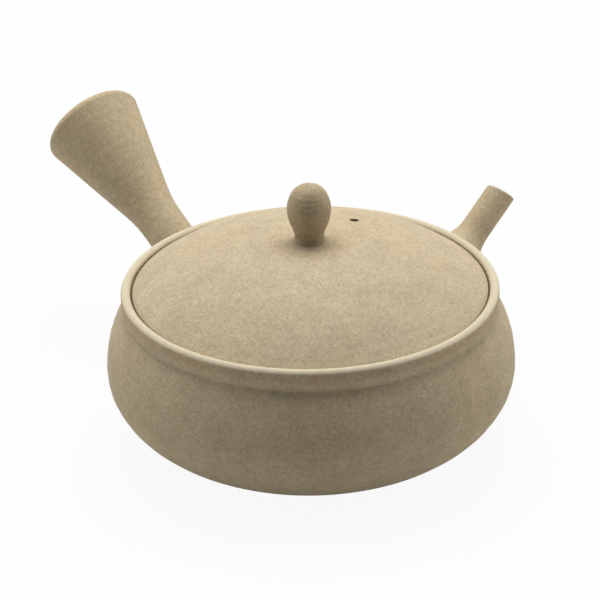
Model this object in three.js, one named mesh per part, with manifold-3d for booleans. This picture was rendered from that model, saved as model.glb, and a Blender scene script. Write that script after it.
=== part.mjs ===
// A thrown stoneware side-handled teapot with its lid, in millimetres.
// +Z is up, the origin is the centre of the base, and +X is the way the spout points.

import * as THREE from 'three';
import { mergeVertices } from 'three/addons/utils/BufferGeometryUtils.js';
import Module from 'manifold-3d';

const wasm = await Module();
wasm.setup();

// Clearances
const JOIN_GAP = 0.3;
const LID_CLEARANCE = 0.5;

// Pot body
const BELLY_RADIUS = 64;
const BELLY_HEIGHT = 24.8;
const FOOT_RADIUS = 30.8;
const LOWER_FULLNESS = 1.94;
const SHOULDER_TURN = 48.6;
const NECK_HEIGHT = 44.8;
const NECK_STEP = 0.7;
const RIM_RADIUS = 58.6;
const RIM_HEIGHT = 51.6;
const RIM_WALL = 3.0;
const WALL = 3.2;
const FLOOR = 4.2;
const LEDGE_WIDTH = 4.0;
const LEDGE_THICKNESS = 2.8;

// Lid
const LID_DROP = 1.2;
const LID_EDGE = 2.8;
const LID_WALL = 3.0;
const DOME_RISE = 15.7;
const DOME_POWER = 2.7;
const FLANGE_DEPTH = 8;
const FLANGE_WALL = 2.6;
const VENT_RADIUS = 1.5;
const VENT_REACH = 22;
const VENT_ANGLE = 6;

// Knob
const KNOB_HEIGHT = 18.7;
const KNOB_HEAD_RADIUS = 6.7;
const KNOB_NECK_RADIUS = 4.46;
const KNOB_BASE_RADIUS = 5.0;
const KNOB_LEAN = 2.4;
const KNOB_LEAN_ANGLE = 224;

// Handle
const HANDLE_ANGLE = 84;
const HANDLE_TILT = 30;
const HANDLE_ROOT_HEIGHT = 33.2;
const HANDLE_LENGTH = 68.3;
const HANDLE_STRAIGHT = 25.6;
const HANDLE_NECK_RADIUS = 7.55;
const HANDLE_END_RADIUS = 17.8;
const HANDLE_CORNER = 2.8;
const HANDLE_WALL = 2.6;
const HANDLE_MOUTH_RADIUS = 12.6;
const HANDLE_ROOT_SPREAD = 2.4;
const HANDLE_ROOT_RUN = 8;
const HANDLE_END_CUT = 1.6;

// Spout
const SPOUT_TILT = 37;
const SPOUT_ROOT_HEIGHT = 33.6;
const SPOUT_LENGTH = 33.1;
const SPOUT_RADIUS = 4.87;
const SPOUT_WALL = 1.5;
const SPOUT_ROOT_SPREAD = 10;
const SPOUT_ROOT_RUN = 18;
const SPOUT_TIP_CUT = 10;

// Strainer
const STRAINER_RADIUS = 12.5;
const STRAINER_WALL = 1.8;
const STRAINER_SET = 3;
const STRAINER_HOLE_RADIUS = 0.9;
const STRAINER_RINGS = [1, 6, 12, 13];
const STRAINER_RING_STEP = 17;
const WALL_HOLE_RADIUS = 7.5;

// How finely the round pieces are divided
const POT_SEGMENTS = 48;
const HANDLE_SEGMENTS = 28;
const SPOUT_SEGMENTS = 24;
const STRAINER_SEGMENTS = 20;
const KNOB_SEGMENTS = 20;

const radians = THREE.MathUtils.degToRad;

// Points of the curves that several pieces share
const rimInner = RIM_RADIUS - RIM_WALL;
const neckRadius = RIM_RADIUS - NECK_STEP;
const ledgeRadius = rimInner - LEDGE_WIDTH;
const lidTopEdge = RIM_HEIGHT - LID_DROP;
const lidSeat = lidTopEdge - LID_EDGE;
const ledgeTop = lidSeat - JOIN_GAP;
const lidRadius = rimInner - JOIN_GAP;
const turn = radians(SHOULDER_TURN);
const shoulderRun = (BELLY_RADIUS - neckRadius) / (1 - Math.cos(turn));
const shoulderRise = (NECK_HEIGHT - BELLY_HEIGHT) / Math.sin(turn);
const shoulderCentre = BELLY_RADIUS - shoulderRun;

// Outer radius of the pot at a height, grown by a margin
function outerRadius(z, grow = 0) {
  if (z >= NECK_HEIGHT) return RIM_RADIUS + grow;
  if (z >= BELLY_HEIGHT) {
    const rise = (z - BELLY_HEIGHT) / (shoulderRise + grow);
    return shoulderCentre + (shoulderRun + grow) * Math.sqrt(Math.max(0, 1 - rise * rise));
  }
  const drop = Math.min(1, (BELLY_HEIGHT - Math.max(z, 0)) / (BELLY_HEIGHT + grow));
  const reach = (1 - drop ** LOWER_FULLNESS) ** (1 / LOWER_FULLNESS);
  return FOOT_RADIUS + (BELLY_RADIUS - FOOT_RADIUS + grow) * reach;
}

// Points of a quarter superellipse from its foot to its widest point
function lowerCurve(centre, run, rise, steps) {
  const points = [];
  for (let i = 0; i <= steps; i++) {
    const a = (Math.PI / 2) * (1 - i / steps);
    const x = Math.cos(a) ** (2 / LOWER_FULLNESS);
    const y = Math.sin(a) ** (2 / LOWER_FULLNESS);
    points.push([centre + run * x, BELLY_HEIGHT - rise * y]);
  }
  return points;
}

// Points of the shoulder's ellipse, above the widest point
function shoulderCurve(run, rise, steps) {
  const points = [];
  for (let i = 1; i <= steps; i++) {
    const a = (turn * i) / steps;
    points.push([shoulderCentre + run * Math.cos(a), BELLY_HEIGHT + rise * Math.sin(a)]);
  }
  return points;
}

// Points of a circular arc between two angles in degrees
function arc(x, y, radius, from, to, steps) {
  const points = [];
  for (let i = 0; i <= steps; i++) {
    const a = radians(from + ((to - from) * i) / steps);
    points.push([x + radius * Math.cos(a), y + radius * Math.sin(a)]);
  }
  return points;
}

// A geometry with shared vertices merged and collapsed triangles left out
function cleaned(geometry) {
  const bare = geometry.clone();
  bare.deleteAttribute('normal');
  bare.deleteAttribute('uv');
  const merged = mergeVertices(bare, 1e-4);
  const index = merged.index.array;
  const kept = [];
  for (let i = 0; i < index.length; i += 3) {
    const [a, b, c] = [index[i], index[i + 1], index[i + 2]];
    if (a !== b && b !== c && c !== a) kept.push(a, b, c);
  }
  merged.setIndex(kept);
  return merged;
}

function signedVolume(position, index) {
  const [a, b, c] = [new THREE.Vector3(), new THREE.Vector3(), new THREE.Vector3()];
  let sum = 0;
  for (let i = 0; i < index.length; i += 3) {
    a.fromArray(position, 3 * index[i]);
    b.fromArray(position, 3 * index[i + 1]);
    c.fromArray(position, 3 * index[i + 2]);
    sum += a.dot(b.cross(c));
  }
  return sum / 6;
}

// A three.js geometry as a solid that can be cut and joined
function toSolid(geometry) {
  const merged = cleaned(geometry);
  const vertProperties = new Float32Array(merged.attributes.position.array);
  const triVerts = new Uint32Array(merged.index.array);
  if (signedVolume(vertProperties, triVerts) < 0) {
    for (let i = 0; i < triVerts.length; i += 3) {
      [triVerts[i + 1], triVerts[i + 2]] = [triVerts[i + 2], triVerts[i + 1]];
    }
  }
  return new wasm.Manifold(new wasm.Mesh({ numProp: 3, vertProperties, triVerts }));
}

// A cut solid as a three.js geometry
function toGeometry(solid) {
  const mesh = solid.getMesh();
  const geometry = new THREE.BufferGeometry();
  const position = new Float32Array(mesh.numVert * 3);
  for (let i = 0; i < mesh.numVert; i++) {
    for (let k = 0; k < 3; k++) position[3 * i + k] = mesh.vertProperties[mesh.numProp * i + k];
  }
  geometry.setAttribute('position', new THREE.BufferAttribute(position, 3));
  geometry.setIndex(Array.from(mesh.triVerts));
  geometry.computeVertexNormals();
  return geometry;
}

// A profile of [radius, height] points turned about +Z
function turned(points, segments) {
  const profile = points.map(([x, y]) => new THREE.Vector2(Math.max(0, x), y));
  return new THREE.LatheGeometry(profile, segments).rotateX(Math.PI / 2);
}

// The pot's outside, down to the table and up to the rim, as a solid profile
function outerProfile(grow) {
  const run = BELLY_RADIUS - FOOT_RADIUS + grow;
  return [
    [0, -grow],
    ...lowerCurve(FOOT_RADIUS, run, BELLY_HEIGHT + grow, 9),
    ...shoulderCurve(shoulderRun + grow, shoulderRise + grow, 6),
  ];
}

// The pot's inside, from the floor up to the underside of the ledge
function innerProfile(shrink) {
  const wall = WALL + shrink;
  const run = BELLY_RADIUS - FOOT_RADIUS - wall;
  const floor = BELLY_HEIGHT - FLOOR - shrink;
  return [
    ...lowerCurve(FOOT_RADIUS, run, floor, 7),
    ...shoulderCurve(shoulderRun - wall, shoulderRise - wall, 4),
  ];
}

const lip = RIM_WALL / 2;
const lipCentre = RIM_RADIUS - lip;

function potProfile() {
  const ledge = [
    [ledgeRadius + 0.8, ledgeTop - LEDGE_THICKNESS],
    [ledgeRadius, ledgeTop - LEDGE_THICKNESS + 0.9],
    [ledgeRadius, ledgeTop - 0.5],
    [ledgeRadius + 0.5, ledgeTop],
    [rimInner, ledgeTop],
  ];
  return [
    ...outerProfile(0),
    [neckRadius + 0.25, NECK_HEIGHT + 0.8],
    [RIM_RADIUS, NECK_HEIGHT + 2.4],
    ...arc(lipCentre, RIM_HEIGHT - lip, lip, 0, 180, 6),
    ...ledge.reverse(),
    ...innerProfile(0).reverse(),
    [0, FLOOR],
  ];
}

// The grown outside, which the handle and the spout are cut back from
function potBlock(grow) {
  return toSolid(turned([
    ...outerProfile(grow),
    [RIM_RADIUS + grow, NECK_HEIGHT + 1.6],
    [RIM_RADIUS + grow, RIM_HEIGHT + grow],
    [0, RIM_HEIGHT + grow],
  ], POT_SEGMENTS));
}

// A frame on the pot's wall: its origin is where the axis meets the outside,
// its +Z runs out along the axis and its +X is square to it, on the upper side
function wallFrame(angle, tilt, height) {
  const a = radians(angle);
  const t = radians(tilt);
  const root = outerRadius(height);
  const out = new THREE.Vector3(Math.cos(t) * Math.cos(a), Math.cos(t) * Math.sin(a), Math.sin(t));
  const up = new THREE.Vector3(-Math.sin(t) * Math.cos(a), -Math.sin(t) * Math.sin(a), Math.cos(t));
  const side = new THREE.Vector3().crossVectors(out, up);
  const matrix = new THREE.Matrix4().makeBasis(up, side, out);
  return matrix.setPosition(root * Math.cos(a), root * Math.sin(a), height);
}

// How far along the frame's axis the pot's outside lies, off to one side of it
function wallAlong(frame, x, y) {
  let [low, high] = [-30, 30];
  const point = new THREE.Vector3();
  for (let i = 0; i < 40; i++) {
    const middle = (low + high) / 2;
    point.set(x, y, middle).applyMatrix4(frame);
    if (Math.hypot(point.x, point.y) < outerRadius(point.z)) low = middle;
    else high = middle;
  }
  return (low + high) / 2;
}

// A turned tube whose root follows the pot's wall: reference is the root's radius, and
// tip leans the far end, which draws its upper lip back
function rootedTube(frame, profile, segments, size) {
  const geometry = cleaned(turned(profile, segments));
  const position = geometry.attributes.position;
  for (let i = 0; i < position.count; i++) {
    const [x, y, z] = [position.getX(i), position.getY(i), position.getZ(i)];
    const r = Math.hypot(x, y) || 1;
    const wall = wallAlong(frame, (x / r) * size.reference, (y / r) * size.reference);
    const share = THREE.MathUtils.clamp(1 - z / size.length, 0, 1);
    const lean = size.tip * x * THREE.MathUtils.clamp(3 * (1 - share) - 2, 0, 1);
    position.setZ(i, z + wall * share * share - lean);
  }
  return toSolid(geometry.applyMatrix4(frame));
}

// Outer radius of the handle at a distance from the wall
const handleSlope = (HANDLE_END_RADIUS - HANDLE_NECK_RADIUS) / (HANDLE_LENGTH - HANDLE_STRAIGHT);
const handleSoftness = 2.2;

function handleRadius(t) {
  const grown = Math.log1p(Math.exp((t - HANDLE_STRAIGHT) / handleSoftness)) * handleSoftness;
  const near = THREE.MathUtils.clamp(1 - t / HANDLE_ROOT_RUN, 0, 1.2);
  return HANDLE_NECK_RADIUS + handleSlope * grown + HANDLE_ROOT_SPREAD * near ** 2.4;
}

function handleProfile() {
  const outside = [];
  const inside = [];
  const bury = -14;
  const turnIn = HANDLE_LENGTH - HANDLE_CORNER;
  for (const t of [bury, 0, 2.5, 5, 8, 15, 20, 23, 26, 29, 34, 48]) {
    if (t < turnIn) outside.push([handleRadius(t), t]);
  }
  for (const t of [bury, 14, 22, 27, 34, 50]) {
    if (t < turnIn - 6) inside.push([HANDLE_NECK_RADIUS - HANDLE_WALL + Math.max(0,
      handleRadius(Math.max(t, 10)) - HANDLE_NECK_RADIUS), t]);
  }
  const corner = handleRadius(turnIn) - HANDLE_CORNER;
  const lipRound = HANDLE_WALL / 2;
  const deep = HANDLE_LENGTH - HANDLE_WALL;
  return [
    ...outside,
    ...arc(corner, turnIn, HANDLE_CORNER, 0, 90, 3),
    ...arc(HANDLE_MOUTH_RADIUS + lipRound, HANDLE_LENGTH - lipRound, lipRound, 90, 270, 4),
    [corner - 1.2, deep],
    [corner, deep - 2.2],
    ...inside.reverse(),
    outside[0],
  ];
}

// Outer radius of the spout at a distance from the wall
function spoutRadius(t) {
  const near = THREE.MathUtils.clamp(1 - t / SPOUT_ROOT_RUN, 0, 1);
  return SPOUT_RADIUS + SPOUT_ROOT_SPREAD * near ** 2.2;
}

function spoutProfile() {
  const stations = [-6, 0, 1.5, 3, 5, 7, 9.5, 12.5, 17, 24];
  const outside = stations.filter((t) => t < SPOUT_LENGTH - 3).map((t) => [spoutRadius(t), t]);
  const inside = outside.filter((p, i) => i % 2 === 0).map(([r, t]) => [r - SPOUT_WALL, t]);
  const round = SPOUT_WALL / 2 - 0.15;
  return [
    ...outside,
    ...arc(SPOUT_RADIUS - round, SPOUT_LENGTH - round, round, 0, 180, 3),
    ...inside.reverse(),
    outside[0],
  ];
}

// The dome's top surface at a radius
function domeHeight(r) {
  return lidTopEdge + DOME_RISE * (1 - (r / lidRadius) ** DOME_POWER);
}

const flangeOuter = ledgeRadius - LID_CLEARANCE;
const flangeInner = flangeOuter - FLANGE_WALL;

function lidProfile() {
  const edge = 0.8;
  const top = [0.999, 0.97, 0.92, 0.85, 0.77, 0.67, 0.55, 0.41, 0.24, 0];
  const inside = [0, 0.3, 0.55, 0.78, 1];
  const bottom = lidSeat - FLANGE_DEPTH;
  return [
    ...inside.map((k) => [k * flangeInner, domeHeight(k * flangeInner) - LID_WALL]),
    [flangeInner, bottom + 0.8],
    [flangeInner + 0.8, bottom],
    [flangeOuter - 0.8, bottom],
    [flangeOuter, bottom + 0.8],
    [flangeOuter, lidSeat],
    [lidRadius - 0.5, lidSeat],
    [lidRadius, lidSeat + 0.5],
    [lidRadius, lidTopEdge - edge],
    ...top.map((k) => [k * lidRadius - edge * k * 0.25, domeHeight(k * lidRadius)]),
  ];
}

function knobProfile() {
  const [head, neck, base] = [KNOB_HEAD_RADIUS, KNOB_NECK_RADIUS, KNOB_BASE_RADIUS];
  const h = KNOB_HEIGHT;
  const curve = new THREE.SplineCurve([
    [base, 0], [neck + 0.25 * (base - neck), 0.05 * h], [neck, 0.1 * h],
    [neck + 0.22 * (head - neck), 0.2 * h],
    [neck + 0.72 * (head - neck), 0.36 * h], [head, 0.545 * h], [0.95 * head, 0.7 * h],
    [0.76 * head, 0.86 * h], [0.44 * head, 0.965 * h], [0, h],
  ].map(([x, y]) => new THREE.Vector2(x, y)));
  const points = curve.getPoints(16).map((p) => [p.x, p.y]);
  return [[0, 0], ...points.slice(0, -1), [0, h]];
}

// A straight round cutter from a point along a direction
function cutter(point, direction, radius, from, to, sides) {
  const geometry = new THREE.CylinderGeometry(radius, radius, to - from, sides);
  geometry.translate(0, (from + to) / 2, 0);
  const along = direction.clone().normalize();
  const spin = new THREE.Quaternion().setFromUnitVectors(new THREE.Vector3(0, 1, 0), along);
  geometry.applyQuaternion(spin);
  geometry.translate(point.x, point.y, point.z);
  return toSolid(geometry);
}

const block = potBlock(JOIN_GAP);
const cavity = toSolid(turned([[0, FLOOR + JOIN_GAP], ...innerProfile(JOIN_GAP),
  [0, BELLY_HEIGHT + (shoulderRise - WALL - JOIN_GAP) * Math.sin(turn)]], POT_SEGMENTS));

const spoutFrame = wallFrame(0, SPOUT_TILT, SPOUT_ROOT_HEIGHT);
const spoutOut = new THREE.Vector3().setFromMatrixColumn(spoutFrame, 2);
const spoutRoot = new THREE.Vector3().setFromMatrixPosition(spoutFrame);
const handleFrame = wallFrame(HANDLE_ANGLE, HANDLE_TILT, HANDLE_ROOT_HEIGHT);

// Pot body, with the hole that the tea pours through
const body = toSolid(turned(potProfile(), POT_SEGMENTS))
  .subtract(cutter(spoutRoot, spoutOut, WALL_HOLE_RADIUS, -14, 14, 20));

// Handle, cut back to the pot's wall
const handle = rootedTube(handleFrame, handleProfile(), HANDLE_SEGMENTS, {
  length: HANDLE_LENGTH,
  reference: HANDLE_NECK_RADIUS + HANDLE_ROOT_SPREAD,
  tip: Math.tan(radians(HANDLE_END_CUT)),
}).subtract(block);

// Spout, cut back to the pot's wall, its upper lip drawn back by the tip's cut
const spout = rootedTube(spoutFrame, spoutProfile(), SPOUT_SEGMENTS, {
  length: SPOUT_LENGTH,
  reference: SPOUT_RADIUS + SPOUT_ROOT_SPREAD,
  tip: Math.tan(radians(SPOUT_TIP_CUT)),
}).subtract(block);

// Strainer: a pierced cap set against the inside of the wall, over the hole
const strainerCentre = spoutRoot.clone().addScaledVector(spoutOut, STRAINER_SET - WALL);
const inward = spoutOut.clone().negate();
const ball = (radius) => {
  return toSolid(new THREE.SphereGeometry(radius, STRAINER_SEGMENTS, STRAINER_SEGMENTS / 2 + 2));
};
let strainer = ball(STRAINER_RADIUS).subtract(ball(STRAINER_RADIUS - STRAINER_WALL));
strainer = strainer.translate([strainerCentre.x, strainerCentre.y, strainerCentre.z])
  .intersect(cavity);
const sideways = new THREE.Vector3(0, 1, 0);
STRAINER_RINGS.forEach((count, ring) => {
  for (let i = 0; i < count; i++) {
    const ray = inward.clone().applyAxisAngle(sideways, radians(ring * STRAINER_RING_STEP));
    ray.applyAxisAngle(inward, (2 * Math.PI * (i + 0.5 * (ring % 2))) / count);
    strainer = strainer.subtract(cutter(strainerCentre, ray, STRAINER_HOLE_RADIUS,
      STRAINER_RADIUS - 2 * STRAINER_WALL, STRAINER_RADIUS + 2, 6));
  }
});

// Lid, with its steam vent
const vent = new THREE.Vector3(VENT_REACH, 0, lidSeat)
  .applyAxisAngle(new THREE.Vector3(0, 0, 1), radians(VENT_ANGLE));
const lid = toSolid(turned(lidProfile(), POT_SEGMENTS))
  .subtract(cutter(vent, new THREE.Vector3(0, 0, 1), VENT_RADIUS, 0, 2 * DOME_RISE, 12));

// Knob, leaning a little, on top of the lid
const knobBase = domeHeight(0) + JOIN_GAP;
const lean = Math.tan(radians(KNOB_LEAN));
const knobGeometry = turned(knobProfile(), KNOB_SEGMENTS);
knobGeometry.applyMatrix4(new THREE.Matrix4().set(
  1, 0, lean * Math.cos(radians(KNOB_LEAN_ANGLE)), 0,
  0, 1, lean * Math.sin(radians(KNOB_LEAN_ANGLE)), 0,
  0, 0, 1, 0,
  0, 0, 0, 1,
));

const teapot = new THREE.Group();

function add(name, solid, colour, roughness, parent = teapot) {
  const material = new THREE.MeshStandardMaterial({ color: colour, roughness, metalness: 0 });
  const mesh = new THREE.Mesh(toGeometry(solid), material);
  mesh.name = name;
  parent.add(mesh);
  return mesh;
}

add('pot_body', body, 0xa1937a, 0.9);
add('handle', handle, 0x9c8d72, 0.88);
add('spout', spout, 0xa09076, 0.88);
add('strainer', strainer, 0x988a70, 0.92);

const lidGroup = new THREE.Group();
teapot.add(lidGroup);
add('lid', lid, 0xada085, 0.9, lidGroup);
add('lid_knob', toSolid(knobGeometry), 0x8f8064, 0.9, lidGroup).position.z = knobBase;

export default teapot;
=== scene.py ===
"""A thrown stoneware teapot with a side handle, on a white table.

Sizes are in millimetres in the tables below and in metres in the meshes.
+Z is up, the origin is the centre of the base, and +X is the way the spout points.
"""

import math

import bmesh
import bpy
import numpy as np
from mathutils import Matrix, Vector


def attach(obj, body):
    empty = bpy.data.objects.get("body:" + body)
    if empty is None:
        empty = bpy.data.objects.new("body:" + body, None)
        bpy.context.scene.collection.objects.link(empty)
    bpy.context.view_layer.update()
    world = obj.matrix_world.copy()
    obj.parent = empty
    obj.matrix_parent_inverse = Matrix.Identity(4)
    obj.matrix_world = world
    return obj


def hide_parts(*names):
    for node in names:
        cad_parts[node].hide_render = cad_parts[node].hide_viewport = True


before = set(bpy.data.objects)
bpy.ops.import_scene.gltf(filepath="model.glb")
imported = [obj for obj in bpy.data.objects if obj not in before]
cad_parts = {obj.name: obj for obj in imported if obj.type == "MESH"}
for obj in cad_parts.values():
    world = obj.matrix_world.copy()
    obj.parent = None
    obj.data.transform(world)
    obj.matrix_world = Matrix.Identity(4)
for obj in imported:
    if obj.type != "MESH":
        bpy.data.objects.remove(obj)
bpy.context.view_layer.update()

MM = 0.001

# The pot's body
BELLY_RADIUS = 64.0
BELLY_HEIGHT = 24.8
FOOT_RADIUS = 30.8
LOWER_FULLNESS = 1.94
SHOULDER_TURN = math.radians(48.6)
NECK_HEIGHT = 44.8
NECK_RADIUS = 57.9
RIM_RADIUS = 58.6
RIM_HEIGHT = 51.6
RIM_WALL = 3.0
WALL = 3.2
FLOOR = 4.2
LEDGE_RADIUS = 51.6
LEDGE_TOP = 47.3
SHOULDER_RUN = (BELLY_RADIUS - NECK_RADIUS) / (1 - math.cos(SHOULDER_TURN))
SHOULDER_RISE = (NECK_HEIGHT - BELLY_HEIGHT) / math.sin(SHOULDER_TURN)
SHOULDER_CENTRE = BELLY_RADIUS - SHOULDER_RUN
POUR_HOLE_RADIUS = 7.5
POUR_HOLE_REACH = 14.0

# The lid
LID_RADIUS = 55.3
LID_TOP_EDGE = 50.4
LID_SEAT = 47.6
DOME_RISE = 15.7
DOME_POWER = 2.7
LID_WALL = 3.0
FLANGE_OUTER = 51.1
FLANGE_INNER = 48.5
FLANGE_BOTTOM = 39.6
FLANGE_ROUND = 1.0
LID_EDGE_ROUND = 0.6
DOME_EDGE_ROUND = 0.85
VENT_REACH = 22.0
VENT_ANGLE = math.radians(6.0)
VENT_RADIUS = 1.5

# The knob, which leans a little
KNOB_BASE = 66.1
KNOB_HEIGHT = 18.9
KNOB_HEAD_RADIUS = 6.7
KNOB_NECK_RADIUS = 4.46
KNOB_BASE_RADIUS = 5.0
KNOB_LEAN = math.tan(math.radians(2.4))
KNOB_LEAN_ANGLE = math.radians(224.0)

# The handle
HANDLE_ANGLE = 84
HANDLE_TILT = 30
HANDLE_ROOT_HEIGHT = 33.2
HANDLE_LENGTH = 68.3
HANDLE_STRAIGHT = 25.6
HANDLE_SOFTNESS = 2.2
HANDLE_NECK_RADIUS = 7.55
HANDLE_END_RADIUS = 17.8
HANDLE_CORNER = 2.8
HANDLE_WALL = 2.6
HANDLE_MOUTH_RADIUS = 12.6
HANDLE_FILLET_WIDTH = 2.9
HANDLE_FILLET_RISE = 7.0
HANDLE_END_CUT = 1.6

# The spout
SPOUT_TILT = 37
SPOUT_ROOT_HEIGHT = 33.6
SPOUT_LENGTH = 33.1
SPOUT_RADIUS = 4.87
SPOUT_WALL = 1.5
SPOUT_FLARE = 10.6
SPOUT_FLARE_RUN = 18.0
SPOUT_FLARE_POWER = 2.2
SPOUT_INNER_FLARE = 5.6
SPOUT_INNER_RISE = 8.0
SPOUT_TIP_CUT = 10.0
ROOT_SINK = 0.3

# The strainer
STRAINER_RADIUS = 12.5
STRAINER_WALL = 1.8
STRAINER_CENTRE = -0.2
STRAINER_DEPTH_IN_WALL = 1.4
STRAINER_HOLE_RADIUS = 0.9
STRAINER_HOLE_CUT = 5.6
STRAINER_RINGS = (1, 6, 12, 13)
STRAINER_RING_STEP = math.radians(17)

# What the hand left uneven on each piece: (waves round it, millimetres, phase)
POT_UNEVEN = ((2, 0.16, 0.7), (3, 0.07, -1.1))
LID_UNEVEN = ((2, 0.10, -0.4), (5, 0.05, 0.0))
KNOB_UNEVEN = ((2, 0.10, 0.9), (3, 0.05, 0.0))
HANDLE_UNEVEN = ((2, 0.12, 0.5), (3, 0.05, 0.0))
SPOUT_UNEVEN = ((2, 0.06, 1.2), (3, 0.03, 0.0))

# The height between throwing rings
OUTER_RING_PITCH = 2.9
INNER_RING_PITCH = 3.7
HANDLE_RING_PITCH = 3.1

# How many sides each turned piece has
POT_SEGMENTS = 224
KNOB_SEGMENTS = 128
HANDLE_SEGMENTS = 168
SPOUT_SEGMENTS = 144
STRAINER_SEGMENTS = 120

# Where the camera stood, from the outline of the pot in the photograph
CAMERA_LENS = 133.42
CAMERA_RAISE = 0.4861
CAMERA_DISTANCE = 700.0
CAMERA_AIM_HEIGHT = 30.0
CAMERA_PAN = 0.0047
CAMERA_TILT = 0.0197
CAMERA_ROLL = 0.0147
PHOTO_TURN = Matrix.Rotation(-math.radians(44.0), 3, "Z")

# The lamps as the camera sees them, in metres and watts:
# (name, place, height aimed at, size, power)
SOFTBOXES = (
    ("top_softbox", (0.0, 0.35, 1.1), 0.05, (1.1, 0.8), 17.0),
    ("left_softbox", (-1.1, 0.15, 0.45), 0.05, (0.7, 0.8), 4.4),
    ("right_softbox", (1.1, 0.15, 0.45), 0.05, (0.7, 0.8), 4.4),
    ("front_fill", (0.1, -1.2, 0.5), 0.03, (0.9, 0.6), 0.2),
)
ROOM_LIGHT = 0.10
TABLE_REACH = 2.5
TABLE_DROP = 0.0002
TABLE_TONE = 0.62
TABLE_WHITENESS = 0.93


# Shapes

def outer_radius(z):
    """Outer radius of the pot's body at each height."""
    z = np.asarray(z, float)
    rise = np.clip((z - BELLY_HEIGHT) / SHOULDER_RISE, 0, 1)
    upper = SHOULDER_CENTRE + SHOULDER_RUN * np.sqrt(1 - rise * rise)
    drop = np.clip((BELLY_HEIGHT - np.maximum(z, 0)) / BELLY_HEIGHT, 0, 1)
    reach = (1 - drop**LOWER_FULLNESS) ** (1 / LOWER_FULLNESS)
    lower = FOOT_RADIUS + (BELLY_RADIUS - FOOT_RADIUS) * reach
    body = np.where(z >= BELLY_HEIGHT, upper, lower)
    collar = NECK_RADIUS + (RIM_RADIUS - NECK_RADIUS) * np.clip((z - NECK_HEIGHT) / 2.4, 0, 1)
    return np.where(z >= NECK_HEIGHT, collar, body)


def dome_height(r):
    """Height of the lid's top surface at a radius."""
    return LID_TOP_EDGE + DOME_RISE * (1 - (r / LID_RADIUS) ** DOME_POWER)


def smooth_step(x):
    """0 up to x = 0, 1 from x = 1, and smooth between them."""
    x = np.clip(x, 0, 1)
    return x * x * (3 - 2 * x)


def unevenness(waves, a):
    """What a table of waves adds to the radius at an angle."""
    return sum(size * np.cos(count * a + phase) for count, size, phase in waves)


def arc(x, y, radius, start, end, steps):
    """Points of a circular arc, with its angles in degrees."""
    angles = np.radians(np.linspace(start, end, steps + 1))
    return [(x + radius * math.cos(a), y + radius * math.sin(a)) for a in angles]


def fillet(radius, spread, rise, steps):
    """(radius, distance) points of an elliptical fillet from the wall up to the tube."""
    angles = np.linspace(0, math.pi / 2, steps + 1)
    return [(radius + spread * (1 - math.sin(a)), rise * (1 - math.cos(a))) for a in angles]


def lower_curve(run, rise, steps):
    """Quarter superellipse from the foot to the widest point."""
    points = []
    for i in range(steps + 1):
        a = math.pi / 2 * (1 - i / steps)
        x, y = max(0.0, math.cos(a)), math.sin(a)
        points.append((FOOT_RADIUS + run * x ** (2 / LOWER_FULLNESS),
                       BELLY_HEIGHT - rise * y ** (2 / LOWER_FULLNESS)))
    return points


def shoulder_curve(run, rise, steps):
    """The shoulder's ellipse above the widest point."""
    angles = np.linspace(0, SHOULDER_TURN, steps + 1)[1:]
    return [(SHOULDER_CENTRE + run * math.cos(a), BELLY_HEIGHT + rise * math.sin(a))
            for a in angles]


def spaced(points, step):
    """The same line with a point at least every step along it."""
    line = [points[0]]
    for a, b in zip(points, points[1:]):
        pieces = max(1, math.ceil(math.dist(a, b) / step))
        for i in range(1, pieces + 1):
            k = i / pieces
            line.append((a[0] + k * (b[0] - a[0]), a[1] + k * (b[1] - a[1])))
    return line


def catmull_line(points, pieces):
    """A Catmull-Rom line through the points, each stretch in that many pieces."""
    padded = [points[0]] + points + [points[-1]]
    line = []
    for a, b, c, d in zip(padded, padded[1:], padded[2:], padded[3:]):
        for i in range(pieces):
            t = i / pieces
            line.append(tuple(
                0.5 * (2 * q + (r - p) * t + (2 * p - 5 * q + 4 * r - s) * t * t
                       + (3 * q - p - 3 * r + s) * t**3)
                for p, q, r, s in zip(a, b, c, d)))
    return line + [points[-1]]


# Meshes

def linked(name, mesh):
    """A new object in the scene with that mesh."""
    piece = bpy.data.objects.new(name, mesh)
    bpy.context.scene.collection.objects.link(piece)
    return piece


def object_from(name, vertices, faces):
    """A smooth-shaded mesh object from points in millimetres."""
    mesh = bpy.data.meshes.new(name)
    mesh.from_pydata([tuple(float(c) * MM for c in v) for v in vertices], [], faces)
    mesh.validate()
    bm = bmesh.new()
    bm.from_mesh(mesh)
    bmesh.ops.recalc_face_normals(bm, faces=bm.faces)
    bm.to_mesh(mesh)
    bm.free()
    mesh.polygons.foreach_set("use_smooth", [True] * len(mesh.polygons))
    return linked(name, mesh)


def turned(name, profile, segments, wobble):
    """A thrown form: a profile of (radius, height) turned about +Z.

    wobble gives what the hand added to each radius at an angle and a height.
    """
    vertices, rings = [], []
    for r, z in profile:
        if r < 1e-6:
            rings.append([len(vertices)])
            vertices.append((0.0, 0.0, z))
            continue
        ring = []
        for i in range(segments):
            a = 2 * math.pi * i / segments
            radius = r + wobble(a, r, z)
            ring.append(len(vertices))
            vertices.append((radius * math.cos(a), radius * math.sin(a), z))
        rings.append(ring)
    faces = []
    for low, high in zip(rings, rings[1:]):
        for i in range(segments):
            j = (i + 1) % segments
            if len(low) == 1 and len(high) > 1:
                faces.append((low[0], high[j], high[i]))
            elif len(high) == 1 and len(low) > 1:
                faces.append((low[i], low[j], high[0]))
            elif len(low) > 1:
                faces.append((low[i], low[j], high[j], high[i]))
    return object_from(name, vertices, faces)


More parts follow.
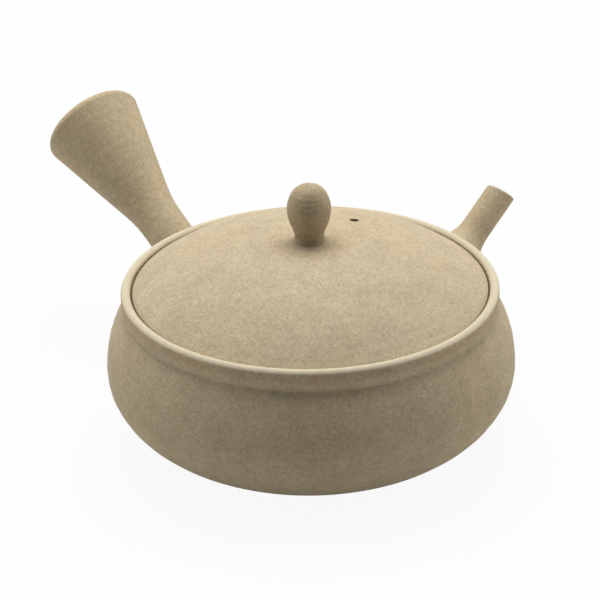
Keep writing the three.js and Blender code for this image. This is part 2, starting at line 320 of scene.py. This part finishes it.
def ringed(name, matrix, rings):
    """A closed loop of rings, each of x, y and z arrays in the matrix's frame."""
    m = np.array(matrix)
    vertices, faces = [], []
    for x, y, z in rings:
        p = m[:3, 0, None] * x + m[:3, 1, None] * y + m[:3, 2, None] * z
        vertices.extend((p + m[:3, 3, None]).T.tolist())
    segments = len(rings[0][0])
    for k in range(len(rings)):
        n = (k + 1) % len(rings)
        for i in range(segments):
            j = (i + 1) % segments
            faces.append((k * segments + i, k * segments + j,
                          n * segments + j, n * segments + i))
    return object_from(name, vertices, faces)


def circle(segments):
    """Angles round a ring, with their cosines and sines."""
    angles = 2 * np.pi * np.arange(segments) / segments
    return angles, np.cos(angles), np.sin(angles)


def wall_frame(angle, tilt, height):
    """A frame on the pot's wall: +Z out along the axis, +X square to it on the upper side."""
    a, t = math.radians(angle), math.radians(tilt)
    root = float(outer_radius(height))
    out = Vector((math.cos(t) * math.cos(a), math.cos(t) * math.sin(a), math.sin(t)))
    up = Vector((-math.sin(t) * math.cos(a), -math.sin(t) * math.sin(a), math.cos(t)))
    side = out.cross(up)
    place = Vector((root * math.cos(a), root * math.sin(a), height))
    return Matrix((
        (up.x, side.x, out.x, place.x),
        (up.y, side.y, out.y, place.y),
        (up.z, side.z, out.z, place.z),
        (0, 0, 0, 1),
    ))


def wall_along(matrix, x, y):
    """How far along the frame's axis the pot's outside lies, at a place beside the axis."""
    m = np.array(matrix)
    low = np.full(np.shape(x), -30.0)
    high = np.full(np.shape(x), 30.0)
    for _ in range(40):
        middle = (low + high) / 2
        p = m[:3, 0, None] * x + m[:3, 1, None] * y + m[:3, 2, None] * middle + m[:3, 3, None]
        inside = np.hypot(p[0], p[1]) < outer_radius(p[2])
        low = np.where(inside, middle, low)
        high = np.where(inside, high, middle)
    return (low + high) / 2


def luted_tube(name, matrix, profile, length, segments, end_cut, wobble):
    """A thrown tube luted to the pot's wall.

    The profile is (radius, distance from the wall). The root follows the wall and sits a
    little way into it, and the far end is cut at an angle in degrees.
    """
    angles, c, s = circle(segments)
    rings = []
    for r, t in profile:
        share = min(1.0, max(0.0, 1 - t / length))
        t -= ROOT_SINK * float(smooth_step(1 - t / 2.0))
        radius = r + wobble(angles, t)
        wall = wall_along(matrix, r * c, r * s) * share * share
        reach = smooth_step((t / length - 0.6) / 0.4)
        rings.append((radius * c, radius * s,
                      t + wall - math.tan(math.radians(end_cut)) * radius * c * reach))
    return ringed(name, matrix, rings)


def cut(piece, cutter):
    """Cuts another object away from a piece and removes it."""
    modifier = piece.modifiers.new("cut", "BOOLEAN")
    modifier.operation = "DIFFERENCE"
    modifier.solver = "MANIFOLD"
    modifier.object = cutter
    graph = bpy.context.evaluated_depsgraph_get()
    mesh = bpy.data.meshes.new_from_object(piece.evaluated_get(graph))
    piece.modifiers.clear()
    piece.data = mesh
    bpy.data.objects.remove(cutter)
    return piece


def rods(name, places, radius, length, sides):
    """Straight round cutters in one object, each from a (start, direction)."""
    bm = bmesh.new()
    for start, direction in places:
        turn = Vector((0, 0, 1)).rotation_difference(direction).to_matrix().to_4x4()
        made = bmesh.ops.create_cone(bm, cap_ends=True, segments=sides, radius1=radius * MM,
                                     radius2=radius * MM, depth=length * MM)
        middle = start + direction * (length / 2)
        bmesh.ops.transform(bm, verts=made["verts"],
                            matrix=Matrix.Translation(middle * MM) @ turn)
    mesh = bpy.data.meshes.new(name)
    bm.to_mesh(mesh)
    bm.free()
    return linked(name, mesh)


# Pot body

def pot_wobble(a, r, z):
    """Throwing rings and the slight unevenness of a hand-thrown bowl."""
    if r < 30:
        return 0.0
    even = unevenness(POT_UNEVEN, a)
    if r > float(outer_radius(z)) - 1.2 and z < RIM_HEIGHT - 1.6:
        fade = float(smooth_step(z / 8.0) * smooth_step((46.0 - z) / 6.0))
        climb = 2 * math.pi * (z / OUTER_RING_PITCH) + a
        return even + fade * (0.050 * math.sin(climb) + 0.030 * math.sin(0.41 * climb + 1.7))
    if z < LEDGE_TOP - 2.5:
        return even + 0.13 * math.sin(2 * math.pi * z / INNER_RING_PITCH + a)
    return even


def make_pot():
    lip = RIM_WALL / 2
    rim_inner = RIM_RADIUS - RIM_WALL
    outside = [(0.0, 0.0), (FOOT_RADIUS - 1.0, 0.0), (FOOT_RADIUS - 0.3, 0.06)]
    outside += lower_curve(BELLY_RADIUS - FOOT_RADIUS, BELLY_HEIGHT, 90)[2:]
    outside += shoulder_curve(SHOULDER_RUN, SHOULDER_RISE, 34)
    # the step from the neck out to the collar
    for out, up in ((0.03, 0.45), (0.16, 0.95), (0.38, 1.55), (0.60, 2.2)):
        outside.append((NECK_RADIUS + out, NECK_HEIGHT + up))
    outside.append((RIM_RADIUS, NECK_HEIGHT + 3.0))
    outside += arc(RIM_RADIUS - lip, RIM_HEIGHT - lip, lip, 0, 180, 22)
    ledge = [(rim_inner, LEDGE_TOP + 0.7), (rim_inner - 0.2, LEDGE_TOP + 0.2),
             (rim_inner - 0.7, LEDGE_TOP), (LEDGE_RADIUS + 0.6, LEDGE_TOP)]
    ledge += arc(LEDGE_RADIUS + 0.6, LEDGE_TOP - 0.6, 0.6, 90, 180, 5)[1:]
    ledge += [(LEDGE_RADIUS, LEDGE_TOP - 1.9), (LEDGE_RADIUS + 0.25, LEDGE_TOP - 2.5),
              (LEDGE_RADIUS + 0.8, LEDGE_TOP - 2.8)]
    inside = shoulder_curve(SHOULDER_RUN - WALL, SHOULDER_RISE - WALL, 24)[::-1]
    inside += lower_curve(BELLY_RADIUS - FOOT_RADIUS - WALL, BELLY_HEIGHT - FLOOR, 60)[::-1][:-1]
    floor = [(FOOT_RADIUS - 1.0, FLOOR), (0.0, FLOOR)]
    profile = (spaced(outside, 0.75) + spaced(ledge, 1.2) + spaced(inside, 1.3)
               + spaced(floor, 3.0))
    pot = turned("thrown_pot", profile, POT_SEGMENTS, pot_wobble)
    start = spout_root - POUR_HOLE_REACH * spout_out
    return cut(pot, rods("pour_hole_cutter", [(start, spout_out)], POUR_HOLE_RADIUS,
                         2 * POUR_HOLE_REACH, 48))


# Lid

def lid_wobble(a, r, z):
    """An edge that isn't perfectly round."""
    return unevenness(LID_UNEVEN, a) * r / LID_RADIUS


def make_lid():
    under = [(k * FLANGE_INNER, dome_height(k * FLANGE_INNER) - LID_WALL)
             for k in np.linspace(0, 0.985, 30)]
    low = FLANGE_BOTTOM + FLANGE_ROUND
    flange = [(FLANGE_INNER, dome_height(FLANGE_INNER) - LID_WALL - 0.9), (FLANGE_INNER, low)]
    flange += arc(FLANGE_INNER + FLANGE_ROUND, low, FLANGE_ROUND, 180, 270, 6)[1:]
    flange += arc(FLANGE_OUTER - FLANGE_ROUND, low, FLANGE_ROUND, 270, 360, 6)
    flange += [(FLANGE_OUTER, LID_SEAT - 0.5), (FLANGE_OUTER + 0.5, LID_SEAT)]
    edge = arc(LID_RADIUS - LID_EDGE_ROUND, LID_SEAT + LID_EDGE_ROUND, LID_EDGE_ROUND,
               270, 360, 6)
    edge += arc(LID_RADIUS - DOME_EDGE_ROUND, LID_TOP_EDGE - 0.5, DOME_EDGE_ROUND, 0, 62, 8)
    top = [(k * LID_RADIUS, dome_height(k * LID_RADIUS)) for k in np.linspace(0.985, 0, 80)]
    profile = spaced(under, 1.6) + spaced(flange, 1.2) + spaced(edge, 1.0) + spaced(top, 0.8)
    # faint turning rings on the dome
    profile = [(r, z + 0.022 * math.sin(r * 2.1) * float(smooth_step((r - 7) / 5))
                if z > LID_TOP_EDGE else z) for r, z in profile]
    profile[0] = (0.0, profile[0][1])
    profile[-1] = (0.0, profile[-1][1])
    lid = turned("domed_lid", profile, POT_SEGMENTS, lid_wobble)
    place = Vector((VENT_REACH * math.cos(VENT_ANGLE), VENT_REACH * math.sin(VENT_ANGLE),
                    LID_SEAT))
    return cut(lid, rods("vent_cutter", [(place, Vector((0, 0, 1)))], VENT_RADIUS, 30.0, 40))


# Knob

def knob_wobble(a, r, z):
    return unevenness(KNOB_UNEVEN, a) * min(1.0, r / 4)


def make_knob():
    head, neck, base, h = KNOB_HEAD_RADIUS, KNOB_NECK_RADIUS, KNOB_BASE_RADIUS, KNOB_HEIGHT
    shape = [(base, 0.0), (neck + 0.25 * (base - neck), 0.05 * h), (neck, 0.1 * h),
             (neck + 0.22 * (head - neck), 0.2 * h), (neck + 0.72 * (head - neck), 0.36 * h),
             (head, 0.545 * h), (0.95 * head, 0.7 * h), (0.76 * head, 0.86 * h),
             (0.44 * head, 0.965 * h), (0.0, h)]
    profile = [(0.0, 0.0)] + [(max(0.0, r), z) for r, z in catmull_line(shape, 9)]
    profile = [(r + 0.035 * math.sin(z * 4.1) * float(smooth_step(r / 3)), z)
               for r, z in profile]
    profile[-1] = (0.0, h)
    knob = turned("egg_knob", profile, KNOB_SEGMENTS, knob_wobble)
    knob.data.transform(Matrix((
        (1, 0, KNOB_LEAN * math.cos(KNOB_LEAN_ANGLE), 0),
        (0, 1, KNOB_LEAN * math.sin(KNOB_LEAN_ANGLE), 0),
        (0, 0, 1, KNOB_BASE * MM),
        (0, 0, 0, 1),
    )))
    return knob


# Handle

def handle_radius(t):
    """Outer radius of the handle at a distance from the wall, without its fillet."""
    slope = (HANDLE_END_RADIUS - HANDLE_NECK_RADIUS) / (HANDLE_LENGTH - HANDLE_STRAIGHT)
    grown = math.log1p(math.exp((t - HANDLE_STRAIGHT) / HANDLE_SOFTNESS))
    return HANDLE_NECK_RADIUS + slope * HANDLE_SOFTNESS * grown


def handle_wobble(a, t):
    rings = 0.018 * np.sin(2 * np.pi * t / HANDLE_RING_PITCH + a)
    return (rings * float(smooth_step((t - 6) / 8))
            + unevenness(HANDLE_UNEVEN, a) * min(1.0, t / 20))


def make_handle():
    turn_in = HANDLE_LENGTH - HANDLE_CORNER
    corner_radius = handle_radius(turn_in) - HANDLE_CORNER
    lip = HANDLE_WALL / 2
    deep = HANDLE_LENGTH - HANDLE_WALL
    outside = fillet(HANDLE_NECK_RADIUS, HANDLE_FILLET_WIDTH, HANDLE_FILLET_RISE, 16)
    outside += [(handle_radius(t), t) for t in np.arange(8.0, turn_in, 1.0)]
    outside += arc(corner_radius, turn_in, HANDLE_CORNER, 0, 90, 10)
    outside += arc(HANDLE_MOUTH_RADIUS + lip, HANDLE_LENGTH - lip, lip, 90, 270, 12)
    outside += [(corner_radius - 1.2, deep), (corner_radius - 0.3, deep - 0.6),
                (corner_radius, deep - 2.2)]
    inside = [(handle_radius(t) - HANDLE_WALL, t) for t in np.arange(0.0, turn_in - 4.0, 1.5)]
    return luted_tube("flared_handle", handle_frame, spaced(outside, 1.0) + inside[::-1],
                      HANDLE_LENGTH, HANDLE_SEGMENTS, HANDLE_END_CUT, handle_wobble)


# Spout

def spout_wobble(a, t):
    return unevenness(SPOUT_UNEVEN, a) * min(1.0, t / 12)


def make_spout():
    lip = SPOUT_WALL / 2 - 0.15
    bore = SPOUT_RADIUS - SPOUT_WALL
    outside = [(SPOUT_RADIUS + 12.0, 0.0), (SPOUT_RADIUS + 11.2, 0.08),
               (SPOUT_RADIUS + 10.7, 0.3)]
    for t in np.arange(0.6, SPOUT_LENGTH - 1.6, 0.6):
        near = max(0.0, 1 - t / SPOUT_FLARE_RUN)
        outside.append((SPOUT_RADIUS + SPOUT_FLARE * near**SPOUT_FLARE_POWER, t))
    outside.append((SPOUT_RADIUS, SPOUT_LENGTH - 1.3))
    outside += arc(SPOUT_RADIUS - lip, SPOUT_LENGTH - lip, lip, 0, 180, 10)
    inside = [(bore, t) for t in np.arange(SPOUT_LENGTH - 1.5, SPOUT_INNER_RISE, -1.2)]
    inside += fillet(bore, SPOUT_INNER_FLARE, SPOUT_INNER_RISE, 14)[::-1]
    return luted_tube("luted_spout", spout_frame, spaced(outside, 0.6) + inside,
                      SPOUT_LENGTH, SPOUT_SEGMENTS, SPOUT_TIP_CUT, spout_wobble)


# Strainer

def make_strainer():
    """A pierced cap of clay set against the inside of the wall, over the pour hole."""
    turns = np.radians(np.linspace(0.5, 86.0, 52))
    inner = STRAINER_RADIUS - STRAINER_WALL
    line = [(STRAINER_RADIUS, a) for a in turns] + [(inner, a) for a in turns[::-1]]
    _, c, s = circle(STRAINER_SEGMENTS)
    rings = []
    for radius, a in line:
        r, t = radius * math.sin(a), STRAINER_CENTRE - radius * math.cos(a)
        wall = wall_along(spout_frame, r * c, r * s) - STRAINER_DEPTH_IN_WALL
        rings.append((r * c, r * s, np.minimum(t, wall)))
    cap = ringed("pierced_strainer", spout_frame, rings)
    middle = spout_root + STRAINER_CENTRE * spout_out
    start = STRAINER_RADIUS - STRAINER_WALL / 2 - STRAINER_HOLE_CUT / 2
    holes = []
    for ring, number in enumerate(STRAINER_RINGS):
        for i in range(number):
            ray = Matrix.Rotation(STRAINER_RING_STEP * ring, 3, (0, 1, 0)) @ -spout_out
            share = (i + 0.5 * (ring % 2)) / number
            ray = Matrix.Rotation(2 * math.pi * share, 3, -spout_out) @ ray
            holes.append((middle + ray * start, ray))
    return cut(cap, rods("strainer_holes", holes, STRAINER_HOLE_RADIUS, STRAINER_HOLE_CUT, 16))


spout_frame = wall_frame(0, SPOUT_TILT, SPOUT_ROOT_HEIGHT)
spout_root = spout_frame.translation
spout_out = spout_frame.col[2].to_3d()
handle_frame = wall_frame(HANDLE_ANGLE, HANDLE_TILT, HANDLE_ROOT_HEIGHT)

pot = make_pot()
handle = make_handle()
spout = make_spout()
strainer = make_strainer()
lid = make_lid()
knob = make_knob()


# Clay

class Wiring:
    """Adds nodes to a tree and feeds values or other nodes into them."""

    def __init__(self, tree):
        self.nodes, self.links = tree.nodes, tree.links

    def feed(self, value, socket):
        if isinstance(value, (int, float, tuple)):
            socket.default_value = value
        else:
            self.links.new(value, socket)

    def place(self):
        """The point on the piece, in metres."""
        return self.nodes.new("ShaderNodeTexCoord").outputs["Object"]

    def math(self, operation, *values):
        node = self.nodes.new("ShaderNodeMath")
        node.operation = operation
        for value, socket in zip(values, node.inputs):
            self.feed(value, socket)
        return node.outputs[0]

    def times(self, *values):
        """The product of two or more values."""
        product = values[0]
        for value in values[1:]:
            product = self.math("MULTIPLY", product, value)
        return product

    def ranged(self, value, low, high, to_low=0.0, to_high=1.0, kind="LINEAR"):
        node = self.nodes.new("ShaderNodeMapRange")
        node.interpolation_type = kind
        node.clamp = True
        for given, socket in zip((value, low, high, to_low, to_high), node.inputs):
            self.feed(given, socket)
        return node.outputs[0]

    def mixed(self, kind, factor, a, b):
        node = self.nodes.new("ShaderNodeMix")
        node.data_type = "RGBA"
        node.blend_type = kind
        self.feed(factor, node.inputs[0])
        self.feed(a, node.inputs[6])
        self.feed(b, node.inputs[7])
        return node.outputs[2]

    def mixed_shaders(self, factor, a, b):
        node = self.nodes.new("ShaderNodeMixShader")
        for value, socket in zip((factor, a, b), node.inputs):
            self.feed(value, socket)
        return node.outputs[0]

    def group(self, tree, values):
        """A shared node group with its own values."""
        node = self.nodes.new("ShaderNodeGroup")
        node.node_tree = tree
        for name, value in values.items():
            self.feed(value, node.inputs[name])
        return node


def new_group(name, inputs, outputs):
    """An empty shader node group, its wiring, its inputs by name and its output node."""
    tree = bpy.data.node_groups.new(name, "ShaderNodeTree")
    for title, value in inputs.items():
        kind = "NodeSocketColor" if isinstance(value, tuple) else "NodeSocketFloat"
        socket = tree.interface.new_socket(name=title, in_out="INPUT", socket_type=kind)
        socket.default_value = value
    for title, kind in outputs.items():
        tree.interface.new_socket(name=title, in_out="OUTPUT", socket_type=kind)
    given = tree.nodes.new("NodeGroupInput").outputs
    return tree, Wiring(tree), given, tree.nodes.new("NodeGroupOutput")


def stoneware_group():
    """Sandy stoneware: colour, roughness and surface height from grain, specks and mottling."""
    tree, w, given, leave = new_group(
        "sandy_stoneware",
        {"Clay Colour": (0.46, 0.40, 0.27, 1), "Warm Colour": (0.50, 0.36, 0.20, 1),
         "Grain Contrast": 1.0, "Speck Amount": 1.0, "Mottling": 1.0, "Highlight And Smoothing": 0.0},
        {"Colour": "NodeSocketColor", "Roughness": "NodeSocketFloat",
         "Height": "NodeSocketFloat"})
    place = w.place()

    def noise(scale, detail, roughness=0.5):
        node = w.nodes.new("ShaderNodeTexNoise")
        node.inputs["Scale"].default_value = scale
        node.inputs["Detail"].default_value = detail
        node.inputs["Roughness"].default_value = roughness
        w.links.new(place, node.inputs["Vector"])
        return node.outputs["Fac"]

    def cells(scale):
        """The distance to the middle of each cell, and the cell's own random numbers."""
        node = w.nodes.new("ShaderNodeTexVoronoi")
        node.inputs["Scale"].default_value = scale
        w.links.new(place, node.inputs["Vector"])
        split = w.nodes.new("ShaderNodeSeparateColor")
        w.links.new(node.outputs["Color"], split.inputs[0])
        return node.outputs["Distance"], split.outputs

    def specks(scale, rare, most, middle, edge):
        """Round specks in a random share of the cells, as a mask."""
        distance, chance = cells(scale)
        return w.times(w.ranged(chance[0], rare, most), w.ranged(distance, middle, edge, 1.0, 0.0))

    # broad mottling from the fire, a few centimetres across
    warm = w.times(w.ranged(noise(38, 3, 0.55), 0.45, 0.75, 0.0, 0.34), given["Mottling"])
    colour = w.mixed("MIX", warm, given["Clay Colour"], given["Warm Colour"])
    patchy = w.ranged(noise(120, 4, 0.6), 0.25, 0.75, 0.90, 1.08)

    # fine grains of sand, each of its own tone
    fine, tone = cells(1500)
    spread = w.times(w.math("SUBTRACT", tone[1], 0.5), given["Grain Contrast"])
    grain = w.math("MULTIPLY_ADD", spread, 0.22, 1.0)
    dust = noise(2600, 2, 0.6)
    shade = w.times(grain, w.ranged(dust, 0.25, 0.75, 0.91, 1.09), patchy)
    grey = w.nodes.new("ShaderNodeCombineColor")
    for socket in list(grey.inputs)[:3]:
        w.links.new(shade, socket)
    colour = w.mixed("MULTIPLY", 1.0, colour, grey.outputs[0])

    # separate specks: dark brown, pale cream and a few rust ones
    dark = specks(1300, 0.93, 0.96, 0.20, 0.38)
    pale = specks(1150, 0.91, 0.95, 0.20, 0.42)
    rust = specks(800, 0.965, 0.98, 0.16, 0.34)
    for mask, strength, tint in ((dark, 0.55, (0.085, 0.055, 0.03, 1)),
                                 (pale, 0.45, (0.72, 0.66, 0.52, 1)),
                                 (rust, 0.5, (0.45, 0.19, 0.06, 1))):
        colour = w.mixed("MIX", w.times(mask, strength, given["Speck Amount"]), colour, tint)

    # a painted highlight: a band painted paler, with its roughness lowered a little below
    colour = w.mixed("MIX", w.times(given["Highlight And Smoothing"], 0.6), colour, (0.66, 0.59, 0.44, 1))
    w.links.new(colour, leave.inputs["Colour"])

    rough = w.math("ADD", w.ranged(noise(300, 3), 0.3, 0.7, 0.80, 0.90), w.times(dark, -0.06))
    rough = w.math("SUBTRACT", rough, w.times(given["Highlight And Smoothing"], 0.10))
    w.links.new(rough, leave.inputs["Roughness"])

    height = w.times(w.ranged(fine, 0.0, 0.6, 1.0, 0.0), 0.5)
    for share, strength in ((dust, 0.5), (pale, 0.7), (dark, -0.6), (noise(420, 3), 0.8)):
        height = w.math("ADD", height, w.times(share, strength))
    w.links.new(height, leave.inputs["Height"])
    return tree


BAND_INPUTS = {"Inner Radius": 0.0, "Outer Radius": 0.01, "Low Height": 0.0, "High Height": 1.0,
               "Softness": 0.001}


def bands_group():
    """A mask by distance from the pot's centre line and by height."""
    tree, w, given, leave = new_group("turned_bands", BAND_INPUTS, {"Mask": "NodeSocketFloat"})
    split = w.nodes.new("ShaderNodeSeparateXYZ")
    w.links.new(w.place(), split.inputs[0])
    x, y, height = split.outputs
    radius = w.math("SQRT", w.math("ADD", w.math("POWER", x, 2.0), w.math("POWER", y, 2.0)))
    blur = given["Softness"]

    def past(value, edge):
        return w.ranged(value, w.math("SUBTRACT", edge, blur), w.math("ADD", edge, blur),
                        kind="SMOOTHSTEP")

    def within(value, low, high):
        return w.times(past(value, given[low]), w.math("SUBTRACT", 1.0, past(value, given[high])))

    mask = w.times(within(radius, "Inner Radius", "Outer Radius"),
                   within(height, "Low Height", "High Height"))
    w.links.new(mask, leave.inputs["Mask"])
    return tree


stoneware = stoneware_group()
bands = bands_group()


def clay(name, colour, highlight_and_smoothing=None, shade_and_tint=None):
    """A stoneware material in a screen colour.

    The first band, of (inner radius, outer radius, low, high, softness) in millimetres, is a
    painted highlight, paler and smoother; the second band is painted shade with a warm tint, given
    with the colour that darkens it and its strength.
    """
    material = bpy.data.materials.new(name)
    material.use_nodes = True
    w = Wiring(material.node_tree)
    shader = w.nodes["Principled BSDF"]
    shader.inputs["Specular IOR Level"].default_value = 0.28

    def band(limits):
        values = {socket: value * MM for socket, value in zip(BAND_INPUTS, limits)}
        return w.group(bands, values).outputs["Mask"]

    body = w.group(stoneware, {"Clay Colour": linear(colour), "Warm Colour": linear(WARM_SAND)})
    if highlight_and_smoothing:
        w.links.new(band(highlight_and_smoothing), body.inputs["Highlight And Smoothing"])
    result = body.outputs["Colour"]
    # painted shade with a warm tint: the band darkens the colour
    if shade_and_tint:
        limits, tint, strength = shade_and_tint
        result = w.mixed("MULTIPLY", w.times(band(limits), strength), result, (*tint, 1))
    w.links.new(result, shader.inputs["Base Color"])
    w.links.new(body.outputs["Roughness"], shader.inputs["Roughness"])
    raised = w.nodes.new("ShaderNodeBump")
    raised.inputs["Strength"].default_value = 0.35
    raised.inputs["Distance"].default_value = 0.22 * MM
    w.links.new(body.outputs["Height"], raised.inputs["Height"])
    w.links.new(raised.outputs["Normal"], shader.inputs["Normal"])
    return material


def linear(colour):
    """Scene colour of a screen colour."""
    return (*(((c / 255 + 0.055) / 1.055) ** 2.4 for c in colour), 1)


WARM_SAND = (184, 158, 122)
# the rim's top: a painted highlight, painted paler and made a little smoother
RIM_HIGHLIGHT_AND_SMOOTHING = (55.0, 60.0, 50.7, 60.0, 0.35)
# painted shade just under the rim's lip, with a warm orange-brown tint
RIM_UNDER_SHADE_AND_TINT = ((56.0, 62.0, 48.2, 50.4, 0.7), (0.92, 0.82, 0.70), 0.55)
# painted shade in a ring round the knob's base, with a pinkish tint
KNOB_RING_SHADE_AND_TINT = ((7.0, 13.0, 60.0, 70.0, 2.2), (0.96, 0.88, 0.82), 0.45)

finishes = (
    (pot, "pot_body", "pot_clay", "pot",
     clay("pot_clay_finish", (178, 163, 134), highlight_and_smoothing=RIM_HIGHLIGHT_AND_SMOOTHING, shade_and_tint=RIM_UNDER_SHADE_AND_TINT)),
    (handle, "handle", "handle_clay", "pot", clay("handle_clay_finish", (176, 160, 130))),
    (spout, "spout", "spout_clay", "pot", clay("spout_clay_finish", (178, 162, 132))),
    # the strainer's colour is a darker copy of the same clay: painted shade inside the pot
    (strainer, "strainer", "strainer_clay", "pot",
     clay("strainer_clay_finish", (168, 153, 125))),
    (lid, "lid", "lid_clay", "lid",
     clay("lid_clay_finish", (181, 166, 138), shade_and_tint=KNOB_RING_SHADE_AND_TINT)),
    # the knob's colour is a darker copy of the same clay: painted shade
    (knob, "lid_knob", "knob_clay", "lid", clay("knob_clay_finish", (168, 152, 122))),
)
for piece, node, slot, body, material in finishes:
    piece.data.materials.clear()
    piece.data.materials.append(material)
    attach(piece, body)
    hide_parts(node)


# Table, light and camera

def white_rays(w):
    """1 for the rays that see the plain white background, and 0 for those that light the pot."""
    path = w.nodes.new("ShaderNodeLightPath").outputs
    either = w.math("MAXIMUM", path["Is Camera Ray"], path["Is Glossy Ray"])
    return w.math("MAXIMUM", either, path["Is Transmission Ray"])


def make_table():
    """A wide white table that keeps the pot's shadow but shows white to the camera."""
    mesh = bpy.data.meshes.new("white_table")
    corners = [(x * TABLE_REACH, y * TABLE_REACH, 0)
               for x, y in ((-1, -1), (1, -1), (1, 1), (-1, 1))]
    mesh.from_pydata(corners, [], [(0, 1, 2, 3)])
    table = linked("white_table", mesh)
    table.location.z = -TABLE_DROP
    material = bpy.data.materials.new("white_paper")
    material.use_nodes = True
    w = Wiring(material.node_tree)
    shader = w.nodes["Principled BSDF"]
    shader.inputs["Base Color"].default_value = (TABLE_TONE, TABLE_TONE, TABLE_TONE, 1)
    shader.inputs["Roughness"].default_value = 0.9
    shader.inputs["Specular IOR Level"].default_value = 0.2
    white = w.nodes.new("ShaderNodeEmission")
    white.inputs["Strength"].default_value = 1.0
    seen = w.mixed_shaders(w.times(white_rays(w), TABLE_WHITENESS), shader.outputs[0],
                           white.outputs[0])
    w.links.new(seen, w.nodes["Material Output"].inputs["Surface"])
    mesh.materials.append(material)


def make_light():
    """Soft lamps over and beside the pot, and a dim room that the camera sees as white."""
    for name, place, aim, size, power in SOFTBOXES:
        data = bpy.data.lights.new(name, "AREA")
        data.shape = "RECTANGLE"
        data.size, data.size_y = size
        data.energy = power
        lamp = linked(name, data)
        lamp.location = PHOTO_TURN @ Vector(place)
        lamp.rotation_mode = "QUATERNION"
        lamp.rotation_quaternion = (Vector((0, 0, aim)) - lamp.location).to_track_quat("-Z", "Y")
    world = bpy.data.worlds.new("pale_room")
    bpy.context.scene.world = world
    world.use_nodes = True
    w = Wiring(world.node_tree)
    w.nodes.clear()
    rooms = []
    for strength in (ROOM_LIGHT, 1.0):
        room = w.nodes.new("ShaderNodeBackground")
        room.inputs["Color"].default_value = (1, 1, 1, 1)
        room.inputs["Strength"].default_value = strength
        rooms.append(room.outputs[0])
    out = w.nodes.new("ShaderNodeOutputWorld")
    w.links.new(w.mixed_shaders(white_rays(w), *rooms), out.inputs[0])


def make_camera():
    """The camera at the photograph's viewing angle."""
    e = CAMERA_RAISE
    place = Vector((0, -CAMERA_DISTANCE * math.cos(e),
                    CAMERA_DISTANCE * math.sin(e) + CAMERA_AIM_HEIGHT))
    forward = Vector((0, math.cos(e), -math.sin(e)))
    right = Vector((1, 0, 0))
    up = right.cross(forward)
    pan = Matrix.Rotation(CAMERA_PAN, 3, up)
    forward, right = pan @ forward, pan @ right
    tilt = Matrix.Rotation(CAMERA_TILT, 3, right)
    forward, up = tilt @ forward, tilt @ up
    roll = Matrix.Rotation(CAMERA_ROLL, 3, forward)
    right, up = roll @ right, roll @ up
    place, forward, right, up = (PHOTO_TURN @ v for v in (place, forward, right, up))
    data = bpy.data.cameras.new("photo_camera")
    data.lens = CAMERA_LENS
    data.sensor_width = 36.0
    data.clip_start, data.clip_end = 0.01, 20.0
    camera = linked("photo_camera", data)
    columns = Matrix((right, up, -forward)).transposed().to_4x4()
    camera.matrix_world = Matrix.Translation(place * MM) @ columns
    bpy.context.scene.camera = camera


make_table()
make_light()
make_camera()
bpy.context.scene.view_settings.view_transform = "Standard"
